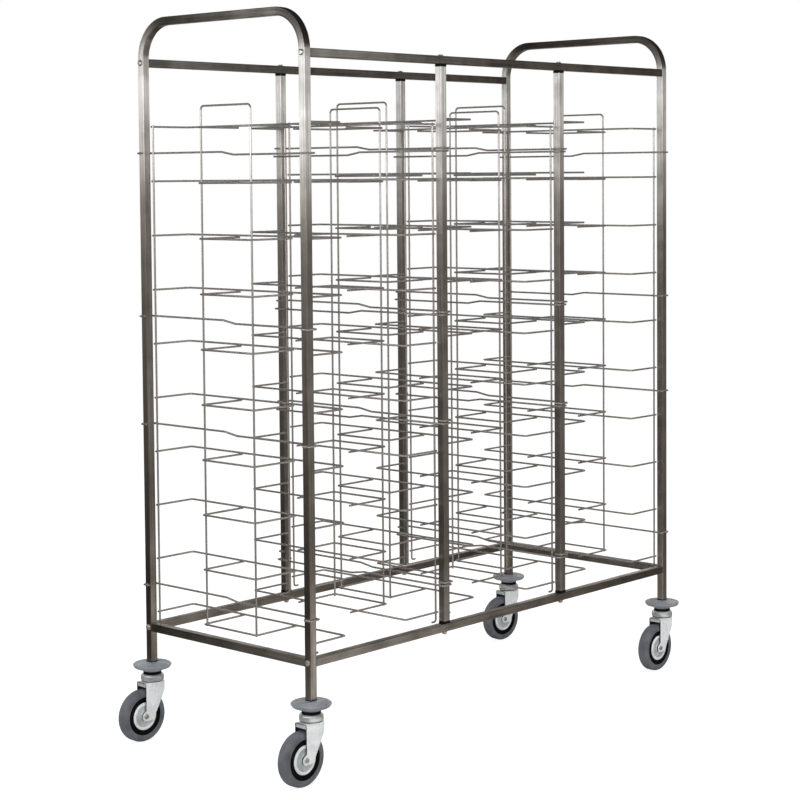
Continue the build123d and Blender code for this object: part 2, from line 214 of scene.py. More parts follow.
def carried(outline, path, first, edge=0.5):
    """Outline carried along a path: P(i, j) = path_i + x_j N_i + y_j B_i. At both ends the outline
    draws in by a small bevel, and one flat face closes it. Returns arrays for make_mesh."""
    points, outward = outline
    along, normals, binormals = sides(path, first)
    shrink = np.ones(len(path) + 2)
    shrink[0] = shrink[-1] = 1 - edge / np.abs(points).max()
    start, end = path[:1], path[-1:]
    path = np.vstack([start, start + along[:1] * edge, path[1:-1], end - along[-1:] * edge, end])
    last = len(along) - 1
    pick = np.r_[0, 0, 1:last, last, last]
    along, normals, binormals = along[pick], normals[pick], binormals[pick]
    rings, count = len(path), len(points)
    offset = points[None] * shrink[:, None, None]
    verts = path[:, None] + offset[..., :1] * normals[:, None] + offset[..., 1:] * binormals[:, None]
    shade = outward[None, :, :1] * normals[:, None] + outward[None, :, 1:] * binormals[:, None]
    quads = grid_faces(rings, count)
    ends = [np.repeat(-along[:1], count, 0), np.repeat(along[-1:], count, 0)]
    corner_normals = np.vstack([shade.reshape(-1, 3)[quads].reshape(-1, 3), *ends])
    girth = np.r_[0, np.cumsum(np.linalg.norm(np.roll(points, -1, 0) - points, axis=1))] / 1000
    run = np.r_[0, np.cumsum(np.linalg.norm(np.diff(path, axis=0), axis=1))] / 1000
    i, j = np.meshgrid(np.arange(rings - 1), np.arange(count), indexing="ij")
    u = np.stack([girth[j], girth[j + 1], girth[j + 1], girth[j]], -1)
    v = np.stack([run[i], run[i], run[i + 1], run[i + 1]], -1)
    uvs = np.vstack([np.stack([u, v], -1).reshape(-1, 2), points[::-1] / 1000, points / 1000])
    ring = np.arange(count)
    faces = quads.tolist() + [ring[::-1].tolist(), ((rings - 1) * count + ring).tolist()]
    return verts.reshape(-1, 3), faces, corner_normals, uvs


def joined(name, parts):
    """Several carried outlines as one object."""
    verts, faces = stacked([(v, f) for v, f, n, m in parts])
    normals = np.vstack([n for v, f, n, m in parts])
    uvs = np.vstack([m for v, f, n, m in parts])
    return make_mesh(name, to_scene(verts), faces, normals, uvs)


# %% [markdown]
# Wheels, bumpers, cups and bolt heads are turned pieces: a profile carried round an axis. The
# profile is written as corner points with a radius for each, as on a turner's drawing, and the
# same path function rounds them.


# %% Turned pieces
def turned(name, profile, radii, place, count=72, closed=True, steps=6):
    """Profile (radius, height) turned round Z: P(i, j) = (r_i cos a_j, r_i sin a_j, h_i). A closed
    profile is a ring's section. An open one starts and ends on the axis. place is a 4 by 4 matrix
    that puts millimetres into the drawing."""
    p = np.asarray(profile, float)
    p3 = np.c_[p[:, 0], np.zeros(len(p)), p[:, 1]]
    if closed:
        middle = (p3[:1] + p3[-1:]) / 2
        line = rounded_path(np.vstack([middle, p3, middle]), radii, steps)[:-1]
    else:
        line = rounded_path(p3, radii, steps)
    keep = np.r_[True, np.linalg.norm(np.diff(line, axis=0), axis=1) > 1e-6]
    r, h = line[keep, 0], line[keep, 2]
    # A section that runs anticlockwise has a positive area. It is turned round to run clockwise,
    # and the grid's faces are turned over to suit, so that they all point outwards.
    area = np.sum(r * np.roll(h, -1) - np.roll(r, -1) * h)
    if area > 0:
        r, h = r[::-1], h[::-1]
    a = np.arange(count) / count * 2 * np.pi
    body = slice(0, len(r)) if closed else slice(1, len(r) - 1)
    rr, hh = r[body, None], h[body, None]
    n = len(rr)
    verts = np.stack([rr * np.cos(a), rr * np.sin(a), np.repeat(hh, count, 1)], -1).reshape(-1, 3)
    faces = grid_faces(n, count, wrap_rows=closed)[:, [0, 3, 2, 1]].tolist()
    if not closed:
        verts = np.vstack([verts, [[0, 0, h[0]], [0, 0, h[-1]]]])
        faces += fan(0, count, n * count).tolist()
        faces += fan((n - 1) * count, count, n * count + 1)[:, ::-1].tolist()
    obj = make_mesh(name, to_scene(moved(verts, place)), faces)
    obj.data.set_sharp_from_angle(angle=0.6)
    return obj


def placing(x, y, z=0.0, angle=0.0, tilt=0.0):
    """Matrix that tilts about X, turns about Z and then moves, in millimetres."""
    upright = Matrix.Translation((x, y, z)) @ Matrix.Rotation(angle, 4, "Z")
    return np.array(upright @ Matrix.Rotation(tilt, 4, "X"))


# %% [markdown]
# ## Finishes
# A material is a tree of nodes. These helpers add the kinds of node that nearly every finish needs:
# one with its inputs set, a sum or product, and a stretch of a range to 0 to 1.


# %% Helpers for node trees
def node(tree, kind, **inputs):
    """Adds a node and sets its inputs. An underscore in a name stands for a space."""
    made = tree.nodes.new(kind)
    for name, value in inputs.items():
        made.inputs[name.replace("_", " ")].default_value = value
    return made


def chain(tree, kind, operation, *values):
    """Adds a math node. Each value is a number, a vector or a socket to link."""
    made = tree.nodes.new(kind)
    made.operation = operation
    for place, value in enumerate(values):
        if hasattr(value, "is_output"):
            tree.links.new(value, made.inputs[place])
        else:
            made.inputs[place].default_value = value
    return made.outputs[0]


def spread(tree, value, low, high):
    """The range from low to high becomes 0 to 1: (value - low) / (high - low), kept within it."""
    made = node(tree, "ShaderNodeMapRange", From_Min=low, From_Max=high)
    tree.links.new(value, made.inputs["Value"])
    return made.outputs["Result"]


def new_group(name, inputs, outputs):
    """Node group with a vector and some numbers going in, and some masks coming out."""
    tree = bpy.data.node_groups.new(name, "ShaderNodeTree")
    face = tree.interface
    face.new_socket("Vector", in_out="INPUT", socket_type="NodeSocketVector")
    for socket, value in inputs.items():
        face.new_socket(socket, in_out="INPUT", socket_type="NodeSocketFloat").default_value = value
    for socket in outputs:
        face.new_socket(socket, in_out="OUTPUT", socket_type="NodeSocketFloat")
    return tree, tree.nodes.new("NodeGroupInput"), tree.nodes.new("NodeGroupOutput")


# %% [markdown]
# Two effects show up on nearly every finish, so each is a node group. The first is grain: fine
# lines that are long one way and short the other. The second is handling: soft cloudy patches
# where a surface has been wiped, rubbed or greased. Each material then sets its own scale.


# %% Shared effects as node groups
def grain_group():
    """Fine lines: noise read from coordinates that are squeezed along the grain."""
    sizes = {"Across": 2500.0, "Along": 12.0}
    tree, inside, outside = new_group("fine grain", sizes, ("Lines", "Bands"))
    scale = tree.nodes.new("ShaderNodeCombineXYZ")
    for socket, way in (("X", "Across"), ("Y", "Along"), ("Z", "Across")):
        tree.links.new(inside.outputs[way], scale.inputs[socket])
    both = inside.outputs["Vector"], scale.outputs["Vector"]
    squeezed = chain(tree, "ShaderNodeVectorMath", "MULTIPLY", *both)
    lines = node(tree, "ShaderNodeTexNoise", Scale=1.0, Detail=2.0, Roughness=0.6)
    bands = node(tree, "ShaderNodeTexNoise", Scale=0.16, Detail=1.0, Roughness=0.5)
    for noise in (lines, bands):
        tree.links.new(squeezed, noise.inputs["Vector"])
    tree.links.new(lines.outputs["Fac"], outside.inputs["Lines"])
    tree.links.new(spread(tree, bands.outputs["Fac"], 0.36, 0.64), outside.inputs["Bands"])
    return tree


def handling_group():
    """Cloudy patches and 22 times finer specks: the middle range of a noise, spread to 0 to 1."""
    tree, inside, outside = new_group("handling marks", {"Scale": 12.0}, ("Patches", "Specks"))
    large = node(tree, "ShaderNodeTexNoise", Detail=3.0, Roughness=0.55)
    small = node(tree, "ShaderNodeTexNoise", Detail=2.0, Roughness=0.7)
    coarse = inside.outputs["Scale"]
    finer = chain(tree, "ShaderNodeMath", "MULTIPLY", coarse, 22.0)
    masks = ((large, coarse, 0.38, 0.66, "Patches"), (small, finer, 0.56, 0.74, "Specks"))
    for noise, scale, low, high, mask in masks:
        tree.links.new(inside.outputs["Vector"], noise.inputs["Vector"])
        tree.links.new(scale, noise.inputs["Scale"])
        tree.links.new(spread(tree, noise.outputs["Fac"], low, high), outside.inputs[mask])
    return tree


grain, handling = grain_group(), handling_group()
print("node groups:", grain.name, "and", handling.name)

# %% [markdown]
# A material is built from a short list of choices: a base colour with a second colour for its
# patches, how rough it is, and how deep its grain or speckle stands. Metal that was brushed mirrors
# the room as a streak across its grain, so the tube's finish stretches its gloss with the
# Anisotropic setting, and takes the direction from the map of the piece.


# %% The material maker
def mixed_colour(tree, factor, first, second):
    """The first colour where the factor is 0, the second where it is 1."""
    mix = tree.nodes.new("ShaderNodeMix")
    mix.data_type = "RGBA"
    tree.links.new(factor, mix.inputs["Factor"])
    mix.inputs["A"].default_value = (*first, 1)
    mix.inputs["B"].default_value = (*second, 1)
    return mix.outputs["Result"]


def effect(tree, group, where, **inputs):
    """Places a node group in a material and returns its masks."""
    made = tree.nodes.new("ShaderNodeGroup")
    made.node_tree = group
    for name, value in inputs.items():
        made.inputs[name].default_value = value
    tree.links.new(where, made.inputs["Vector"])
    return made.outputs


def material(
    name, colour, second, rough, metal=0.0, lines=None, marks=12.0, height=0.0, stretch=0.0, shine=0.5
):
    """rough is (smooth patches, worn patches). lines is (across, along) for grain on the map, or
    None for speckle in the piece's own space. height is the depth of the bump in metres."""
    made = bpy.data.materials.new(name)
    made.use_nodes = True
    made.diffuse_color = (*colour, 1)
    tree = made.node_tree
    shader = tree.nodes["Principled BSDF"]
    shader.inputs["Metallic"].default_value = metal
    shader.inputs["Anisotropic"].default_value = stretch
    shader.inputs["Specular IOR Level"].default_value = shine
    where = tree.nodes.new("ShaderNodeTexCoord").outputs
    wear = effect(tree, handling, where["Object"], Scale=marks)
    fine, tone = wear["Specks"], wear["Patches"]
    if lines:
        drawn = effect(tree, grain, where["UV"], Across=lines[0], Along=lines[1])
        fine, tone = drawn["Lines"], 0.0
        for mask, share in ((drawn["Lines"], 0.25), (drawn["Bands"], 0.4), (wear["Patches"], 0.4)):
            tone = chain(tree, "ShaderNodeMath", "MULTIPLY_ADD", mask, share, tone)
    tree.links.new(mixed_colour(tree, tone, colour, second), shader.inputs["Base Color"])
    gloss = node(tree, "ShaderNodeMapRange", To_Min=rough[0], To_Max=rough[1])
    tree.links.new(tone, gloss.inputs["Value"])
    tree.links.new(gloss.outputs["Result"], shader.inputs["Roughness"])
    if height:
        bump = node(tree, "ShaderNodeBump", Distance=height, Strength=0.5)
        tree.links.new(fine, bump.inputs["Height"])
        tree.links.new(bump.outputs["Normal"], shader.inputs["Normal"])
    if stretch:
        way = tree.nodes.new("ShaderNodeTangent")
        way.direction_type = "UV_MAP"
        way.uv_map = "grain"
        tree.links.new(way.outputs["Tangent"], shader.inputs["Tangent"])
    return made


def dress(obj, finish, slot, body, *replaced):
    """Gives a piece its finish, the body it rides on and the solids it stands for. The slot is
    not used."""
    obj.data.materials.clear()
    obj.data.materials.append(finish)
    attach(obj, body)
    if replaced:
        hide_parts(*replaced)
    return obj


# %% [markdown]
# The trolley has thirteen finishes. The tube is brushed stainless steel, and the wire is drawn and
# bright. The casters are zinc plated, which is a little bluer than stainless and has a faint cloud
# from the plating bath: bright on the cup and plain on the fork. A darker copy of the zinc is
# painted shade in the dish of the wheel and on the lip of the fork. The edges of the fork's sheet
# and its inner side are painted nearly black as shade. The rubber and plastic pieces are plain
# moulded greys and blacks, with the fine texture of the mould.

# %% The steels
brushed = material(
    "brushed stainless tube", (0.76, 0.755, 0.745), (0.30, 0.292, 0.282), (0.26, 0.40),
    metal=1.0, lines=(2600, 22), marks=14.0, height=0.00004, stretch=1.0,
)
drawn_wire = material(
    "bright drawn wire", (0.74, 0.71, 0.69), (0.50, 0.475, 0.46), (0.16, 0.30),
    metal=0.84, lines=(3000, 30), marks=9.0, height=0.00002,
)
weld_heat = material(
    "weld with heat tint", (0.42, 0.36, 0.30), (0.24, 0.20, 0.18), (0.35, 0.55),
    metal=1.0, marks=60.0, height=0.0001,
)
bolt_steel = material(
    "satin bolt steel", (0.80, 0.79, 0.77), (0.60, 0.59, 0.57), (0.16, 0.30),
    metal=0.85, marks=60.0, height=0.00003,
)
# Nearly black steel: painted shade on the edges of the fork's sheet.
edge_shade = material(
    "steel edge, painted shade", (0.10, 0.105, 0.11), (0.05, 0.052, 0.055), (0.3, 0.5),
    metal=0.6, marks=40.0, height=0.00002,
)
zinc = material(
    "zinc plate", (0.94, 0.965, 0.97), (0.80, 0.84, 0.85), (0.22, 0.38),
    metal=0.15, marks=40.0, height=0.00002,
)
# Darker copy of the zinc: painted shade in the dish of the wheel and on the fork's lip.
shaded_zinc = material(
    "zinc plate, painted shade", (0.70, 0.76, 0.78), (0.46, 0.51, 0.53), (0.22, 0.38),
    metal=0.35, marks=40.0, height=0.00002,
)
bright_zinc = material(
    "bright zinc plate", (0.86, 0.91, 0.92), (0.50, 0.54, 0.55), (0.06, 0.18),
    metal=0.66, marks=34.0, height=0.00002,
)
# Nearly black zinc: painted shade on the inner side of the fork.
inner_shade_zinc = material(
    "zinc plate inside, painted shade", (0.075, 0.08, 0.085), (0.03, 0.032, 0.035), (0.35, 0.55),
    metal=0.3, marks=40.0, height=0.00004,
)

# %% The plastics and the rubber
black_plastic = material(
    "black moulded plastic", (0.004, 0.004, 0.004), (0.007, 0.007, 0.007), (0.5, 0.65),
    marks=30.0, height=0.00004, shine=0.15,
)
bumper_plastic = material(
    "grey bumper plastic", (0.27, 0.29, 0.315), (0.195, 0.212, 0.235), (0.2, 0.4),
    marks=30.0, height=0.00003,
)
core_plastic = material(
    "black wheel core", (0.003, 0.003, 0.003), (0.005, 0.005, 0.005), (0.5, 0.65),
    marks=26.0, height=0.00004, shine=0.12,
)
tyre_rubber = material(
    "grey tyre rubber", (0.14, 0.148, 0.166), (0.092, 0.098, 0.111), (0.55, 0.75),
    marks=30.0, height=0.00008, shine=0.3,
)
print("finishes:", len(bpy.data.materials))

# %% [markdown]
# ## The frame
# Each end frame is one tube: up one leg, round a bend of 90 mm radius, across the top as the push
# handle, and down the other leg. Its square outline is carried along that path. The rails and the
# intermediate posts are straight lengths of the same tube, cut square. A post is shorter by the
# collars of its two plastic caps.

# %% End frames, rails and posts
handle_bend, tube_corner, tube_bevel, cap_collar = 90.0, 2.0, 0.4, 6
section = square_outline(tube, tube_corner)
handle_z = handle_top - tube / 2
end_xs = {"left": tube / 2, "right": length - tube / 2}
long_ys = {"front": tube / 2, "rear": depth - tube / 2}
front_y, rear_y = long_ys.values()
for side, x in end_xs.items():
    front_leg = [(x, front_y, leg_bottom), (x, front_y, handle_z)]
    rear_leg = [(x, rear_y, handle_z), (x, rear_y, leg_bottom)]
    path = rounded_path(front_leg + rear_leg, handle_bend, steps=16)
    piece = joined(f"{side}_end_frame_tube", [carried(section, path, (1, 0, 0), tube_bevel)])
    dress(piece, brushed, "frame_tube", "rack", f"{side}_end_frame")


def straight_tube(name, start, end, first):
    """A straight length of the tube that stands for the solid of the same name."""
    path = np.array([start, end], float)
    piece = joined(f"{name}_tube", [carried(section, path, first, tube_bevel)])
    return dress(piece, brushed, "frame_tube", "rack", name)


for side, x in end_xs.items():
    straight_tube(f"{side}_bottom_rail", (x, tube, low_rail), (x, depth - tube, low_rail), (0, 0, 1))
for side, y in long_ys.items():
    for level, z in (("top", high_rail), ("bottom", low_rail)):
        straight_tube(f"{side}_{level}_rail", (tube, y, z), (length - tube, y, z), (0, 0, 1))
    for k, name in enumerate(("left", "right")):
        x = tube / 2 + bay_pitch * (k + 1)
        foot, head = (x, y, post_low + cap_collar), (x, y, post_high - cap_collar)
        straight_tube(f"{side}_{name}_mid_post", foot, head, (1, 0, 0))

# %% [markdown]
# ## The wire panels
# A panel is welded from 27 wires of 5 mm. Two uprights stand beside the posts, a hoop stands
# between them, and ten U-shaped ledges and ten U-shaped brackets are welded across. Four cross
# wires hook round the posts and hold the panel. All six panels are alike, so the paths are worked
# out once, and the panels on the right of a bay are turned half round. X counts from the face of
# the post into the bay, and Z from the foot of the uprights.

# %% Places of the wires in a panel
wire = 5.0
weld_gap, post_gap, hook_gap, end_gap = 0.02, 0.2, 0.3, 0.3
weld = wire + weld_gap
arm_y = tube + post_gap + wire / 2
upright_y, upright_x = arm_y + weld, -6
rear_upright_y = depth - upright_y
near, out, back = wire / 2, wire / 2 + weld, wire / 2 - weld
reach, overhang, tail = 119.0, 11.0, 4.5
ledge_z = 24.5 + 133.93 * np.arange(10)
top_z = ledge_z[-1] + tail
hoop_low, hoop_high = ledge_z[0] - weld - tail, ledge_z[-1] + 45.8
middle, hoop_half = depth / 2, 86.5
hoop_front, hoop_rear = middle - hoop_half, middle + hoop_half
hook_y, hook_x = -(hook_gap + wire / 2), -(tube + hook_gap + wire / 2)
cross_zs = [(ledge_z[k] + ledge_z[k + 1]) / 2 for k in (0, 3, 5, 8)]
cross_rise, cross_drop, slope_half, hook_end = 2, 5, 21.5, 17
front_foot, rear_foot = 32, near + 14.5
print("ledges from", ledge_z[0], "to", round(ledge_z[-1], 2), "mm above the feet")


# %% The paths of one panel
def three_sides(x0, x1, y0, y1, z, radius):
    """A U that lies flat: in at y0, across at x1 and back at y1, from the two ends (x0[0], x0[1])."""
    return rounded_path([(x0[0], y0, z), (x1, y0, z), (x1, y1, z), (x0[1], y1, z)], radius)


front_upright = [(upright_x, upright_y, top_z), (upright_x, upright_y, 0), (front_foot, upright_y, 0)]
rear_upright = [(near, rear_upright_y, top_z), (near, rear_upright_y, 0), (rear_foot, rear_upright_y, 0)]
hoop = [(near, hoop_front, hoop_low), (near, hoop_front, hoop_high)]
hoop += [(near, hoop_rear, hoop_high), (near, hoop_rear, hoop_low)]
foot_bend, hoop_bend, ledge_bend, bracket_bend = 6.0, 10.0, 6.5, 4.0
hook_bend, slope_bend = 4, 12
runs = [rounded_path(upright, foot_bend) for upright in (front_upright, rear_upright)]
runs.append(rounded_path(hoop, hoop_bend))
for z in ledge_z:
    ledge_ends = (upright_x - wire / 2, end_gap)
    runs.append(three_sides(ledge_ends, reach, arm_y, depth - arm_y, z, ledge_bend))
    half, end = hoop_half + weld, reach + overhang
    bracket_ys = middle - half, middle + half
    runs.append(three_sides((end, end), back, *bracket_ys, z - weld, bracket_bend))
for z in cross_zs:
    high, low = z + cross_rise, z - cross_drop
    corners = [
        (hook_x, depth - hook_end, high),
        (hook_x, depth - hook_y, high),
        (out, depth - hook_y, high),
        (out, middle + slope_half, high),
        (out, middle - slope_half, low),
        (out, hook_y, low),
        (hook_x, hook_y, low),
        (hook_x, hook_end, low),
    ]
    bends = [hook_bend, hook_bend, slope_bend, slope_bend, hook_bend, hook_bend]
    runs.append(rounded_path(corners, bends))
longest = max(np.linalg.norm(np.diff(run, axis=0), axis=1).sum() for run in runs)
print("wires in a panel:", len(runs), "longest", round(longest), "mm")

# %% [markdown]
# Resistance welding presses two wires into each other and leaves a small dark swelling at each
# crossing. Each swelling is a squashed ball of a few dozen faces, set halfway between the two
# wires. A weld is wider across the wires than it is deep, so the ball is stretched to suit.

# %% Where the welds are, and their shape
wide, less, thin = 3.0, 2.0, 1.2
welds = []
for z in ledge_z:
    welds += [((upright_x, (arm_y + upright_y) / 2, z), (less, thin, wide))]
    welds += [((near, depth - (arm_y + upright_y) / 2, z), (less, thin, wide))]
    for sign in (-1, 1):
        y, low = middle + sign * hoop_half, z - weld
        welds += [((0.0, y, low), (thin, wide, less))]
        welds += [((near, y + sign * weld / 2, low), (less, thin, wide))]
        welds += [((reach, middle + sign * (hoop_half + weld), z - weld / 2), (wide, less, thin))]
for z in cross_zs:
    for y, rise in ((hoop_front, -cross_drop), (hoop_rear, cross_rise), (rear_upright_y, cross_rise)):
        welds += [(((near + out) / 2, y, z + rise), (thin, less, wide))]


def balls(places, around=8):
    """Ellipsoids: P = centre + size * (cos e cos a, cos e sin a, sin e), with a pole at each end."""
    centres = np.array([p for p, s in places], float)
    sizes = np.array([s for p, s in places], float)
    a, e = np.arange(around) / around * 2 * np.pi, np.array([[-0.9], [0.0], [0.9]])
    ring = np.stack([np.cos(e) * np.cos(a), np.cos(e) * np.sin(a), np.repeat(np.sin(e), around, 1)], -1)
    unit = np.vstack([ring.reshape(-1, 3), [[0, 0, -1], [0, 0, 1]]])
    low_pole = len(unit) - 2
    faces = grid_faces(len(e), around).tolist()
    faces += fan(0, around, low_pole)[:, ::-1].tolist()
    faces += fan(low_pole - around, around, low_pole + 1).tolist()
    verts = centres[:, None] + sizes[:, None] * unit[None]
    shade = unit[None] / sizes[:, None]
    shade = shade / np.linalg.norm(shade, axis=-1, keepdims=True)
    every = [[i + n * len(unit) for i in f] for n in range(len(centres)) for f in faces]
    normals = shade[:, np.concatenate(faces)].reshape(-1, 3)
    return verts.reshape(-1, 3), every, normals, np.zeros((len(normals), 2))


# %% [markdown]
# The left panel of the first bay hangs at the height of its own foot. Further on, two panels share
# a post, so the left panel of the next bay is lifted to clear the hooks of the other one.


# %% The six panels
def turned_half(parts, x, z, flip):
    """Moves a panel's arrays to the face of its posts, turned half round about Z when flip is set."""
    sign = np.array([-1, -1, 1]) if flip else np.array([1, 1, 1])
    move = np.array([x, depth if flip else 0.0, z])
    return [(v * sign + move, f, n * sign, m) for v, f, n, m in parts]


oblique = (0.3, 0.5, 0.81)
wire_parts = [carried(round_outline(wire), run, oblique, edge=0.45) for run in runs]
weld_parts = [balls(welds)]
shared_lift = 14.0
foot_z = post_low + end_gap + wire / 2
for bay in range(bays):
    left = tube + bay_pitch * bay
    lift = shared_lift if bay else 0.0
    hung = (("left", left, foot_z + lift, False), ("right", left + bay_clear, foot_z, True))
    for side, x, z, flip in hung:
        name = f"bay_{bay + 1}_{side}_panel"
        wires = joined(f"{name}_wires", turned_half(wire_parts, x, z, flip))
        dress(wires, drawn_wire, "wire", "rack", name)
        dots = joined(f"{name}_welds", turned_half(weld_parts, x, z, flip))
        dress(dots, weld_heat, "wire", "rack")
print("panel triangles:", sum(len(p.vertices) - 2 for p in wires.data.polygons), "welds:", len(welds))

# %% [markdown]
# ## Bolts and plastic caps
# Button-head bolts pull the long rails against the legs, and more of them hold the intermediate
# posts. A button head is turned, except for its socket, which has six sides. The radius of a
# six-sided hole at an angle is its half width divided by the cosine of the angle to the nearest
# flat, so one grid can go from the round head to the six-sided hole without a join.


# %% Button-head bolts
def hexagon_radius(across, a):
    """Radius of a hexagon at the angles a: half its width over the cosine to the nearest flat."""
    to_flat = (a + np.pi / 6) % (np.pi / 3) - np.pi / 6
    return across / 2 / np.cos(to_flat)


def rings(radii, heights, a):
    """Points (r cos a, r sin a, h), one ring for each row of radii and each height."""
    h = np.repeat(np.array(heights, float)[:, None], len(a), 1)
    return np.stack([radii * np.cos(a), radii * np.sin(a), h], -1).reshape(-1, 3)


def button_head(place, diameter, height, socket, count=48):
    """Rings from the rim over the dome to the flat, then the six-sided hole, then its floor."""
    a = np.arange(count) / count * 2 * np.pi
    hexagon = hexagon_radius(socket, a)
    t = np.linspace(0, 1, 6)
    rim, rim_height, lead_in, socket_depth = diameter / 2, 0.4, 0.3, 2.0
    domed = np.r_[rim * 0.97, rim, rim * (1 - 0.46 * t**1.6)]
    radii = np.vstack([domed[:, None] * np.ones(count), hexagon * 1.08, hexagon, hexagon])
    dome = height * (0.25 + 0.75 * np.sin(t * np.pi / 2) ** 0.9)
    heights = [0.0, rim_height, *dome, height, height - lead_in, height - socket_depth]
    n = len(radii)
    verts = np.vstack([rings(radii, heights, a), [[0, 0, 0.0], [0, 0, height - socket_depth]]])
    faces = grid_faces(n, count).tolist() + fan(0, count, n * count)[:, ::-1].tolist()
    faces += fan((n - 1) * count, count, n * count + 1).tolist()
    return moved(verts, place), faces


def bolt_set(name, replaced, places, diameter, height, socket):
    """Button heads of one size as one object."""
    heads = [button_head(place, diameter, height, socket) for place in places]
    verts, faces = stacked(heads)
    obj = make_mesh(name, to_scene(verts), faces)
    obj.data.set_sharp_from_angle(angle=0.7)
    return dress(obj, bolt_steel, "frame_bolt", "rack", replaced)


def facing(x, y, z, direction):
    """Matrix that turns +Z to a direction and moves to a point."""
    turn = Vector(direction).to_track_quat("Z", "Y").to_matrix().to_4x4()
    return np.array(Matrix.Translation((x, y, z)) @ turn)


leg_places, top_places, foot_places = [], [], []
for y in long_ys.values():
    for z in (low_rail, high_rail):
        leg_places += [facing(0, y, z, (-1, 0, 0)), facing(length, y, z, (1, 0, 0))]
    for k in (1, 2):
        x = tube / 2 + bay_pitch * k
        foot_places.append(facing(x, y, post_low - tube, (0, 0, -1)))
        top_places.append(facing(x, y, post_high + tube, (0, 0, 1)))
bolt_set("rail_bolt_heads", "rail_bolts", leg_places, diameter=14.5, height=4.5, socket=5.0)
bolt_set("post_top_bolt_heads", "post_bolts", top_places, diameter=13.0, height=3.5, socket=4.0)
bolt_set("post_foot_bolt_heads", "post_bolts", foot_places, diameter=13.0, height=8.0, socket=4.0)
print("bolt heads:", len(leg_places + top_places + foot_places))

# %% [markdown]
# The caps, the expanders, the plugs and the stems hide inside the tubes but for a collar or an edge.
# Their solids already have the right shape, so they stay and only get a finish.

# %% Pieces that keep their solid
for name in ("post_caps", "caster_expanders"):
    dress(nodes[name], black_plastic, "black_plastic", "rack")
dress(nodes["rail_end_plugs"], bolt_steel, "plug_steel", "rack")
for name in ("caster_stems", "swivel_races"):
    dress(nodes[name], zinc, "bearing_steel", "rack")

# %% [markdown]
# ## The casters
# Each caster hangs on a stem in its leg. From the top come a round grey bumper, a black spacer, a
# bright swivel cup, and a pressed fork that carries the wheel behind the stem. The joints of the
# solid model give the swivel axis and the direction of the axle, so each caster stands at the
# angle that it had when the photograph was taken. Heights in a caster count from the crown, which
# is the top of the fork.

# %% Fixed rings of a caster
crown_z, axle_z, trail = 146.0, 64.0, 35.0
cup_low, bumper_low = 2.2, 25.0
corner_names = ("front_left", "rear_left", "rear_right", "front_right")
stem_hole = 6.1
bumper_profile = [
    (stem_hole, 0), (22.5, 0), (25, 4.2), (43.5, 8.5), (48.5, 15.5),
    (45, 18.9), (26.5, 22.5), (16, 23), (stem_hole, 23),
]
bumper_radii = [0, 1.5, 4, 5, 2.4, 4, 14, 3, 0]
cup_profile = [
    (27.4, 0), (28.5, 1.2), (28.5, 15.8), (stem_hole, 15.8), (stem_hole, 13), (25.5, 13), (25.5, 0),
]
cup_radii = [0.4, 0.6, 6.2, 0, 0, 4, 0.5]
casters = {}
for name in corner_names:
    pivot = (np.array(joints[f"{name}_swivel"]["pos_m"]) - shift) * 1000
    hub = (np.array(joints[f"{name}_roll"]["pos_m"]) - shift) * 1000
    back_way = hub[:2] - pivot[:2]
    angle = np.arctan2(-back_way[1], -back_way[0])
    casters[name] = (pivot, hub, angle)
    place = placing(pivot[0], pivot[1])
    raised = place @ placing(0, 0, crown_z + bumper_low)
    bumper = turned(f"{name}_bumper_disc", bumper_profile, bumper_radii, raised, count=96)
    dress(bumper, bumper_plastic, "bumper_grey", "rack", f"{name}_bumper")
    raised = place @ placing(0, 0, crown_z + cup_low)
    cup = turned(f"{name}_swivel_cup", cup_profile, cup_radii, raised, count=96)
    dress(cup, bright_zinc, "zinc_sheet", "rack", f"{name}_cup")
print("casters:", len(casters), "angles", [round(float(np.degrees(c[2])), 1) for c in casters.values()])

# %% [markdown]
# Under each bumper sits a black spacer, and between the cup and the fork a seal keeps dust out of
# the bearing. The solid model holds each kind as one node, which the four rings stand for together.

# %% The black spacers and seals
ring_sets = {
    "bumper_spacers": ([(stem_hole, 18), (22.5, 18), (22.5, 25), (stem_hole, 25)], [0, 0.8, 0.8, 0]),
    "swivel_seals": ([(24, 0.3), (27, 0.3), (27, 2.2), (24, 2.2)], [0.3, 0.6, 0.6, 0.3]),
}
for node_name, (profile, radii) in ring_sets.items():
    for name, (pivot, hub, angle) in casters.items():
        raised = placing(pivot[0], pivot[1]) @ placing(0, 0, crown_z)
        ring_piece = turned(f"{name}_{node_name[:-1]}", profile, radii, raised, count=64)
        dress(ring_piece, black_plastic, "black_plastic", "rack", node_name)
print("black rings:", len(ring_sets) * len(casters))

# %% [markdown]
# The fork is pressed from 2.5 mm sheet. Seen from the end it is a U, and seen from the side each
# leg tapers to a round lobe at the axle. As a surface, one parameter runs down one leg, over the
# crown and down the other leg, and the second runs from the rear edge of the sheet to its front
# edge at that height. A soft ridge stands along the slope of each leg, as a bump in the sheet's
# own direction. Solidify then gives the sheet its thickness, with the zinc finish outside, painted
# shade, nearly black, on the sheared edges, and a third finish of painted shade on the inner side.

# %% The fork's edges and its sheet
lobe, lobe_forward, rear_edge = 11.5, 16, -34.0
fork_half, sheet_thick, crown_bend = 19.2, 2.5, 2.75
slope_z, slope_x = [axle_z, axle_z + 11, crown_z - 27, crown_z], [-7.5, -1.4, 21.9, 23.8]
ridge_z, ridge_x = [axle_z + 14, crown_z - 34, crown_z - 10], [-13.0, 8.0, 10.0]
ridge_height, ridge_width = 1.1, 3.2


def edge_lines(z):
    """Rear and front edge of a leg at height z, measured from the swivel axis. Both follow a circle
    at the lobe. Above it the rear edge is upright and the front edge slopes."""
    round_part = np.sqrt(np.clip(lobe**2 - (z - axle_z) ** 2, 0, None))
    rear = np.where(np.abs(z - axle_z) < lobe, -trail - round_part, rear_edge)
    front = np.where(z < axle_z, -trail + lobe_forward + round_part, np.interp(z, slope_z, slope_x))
    return rear, front


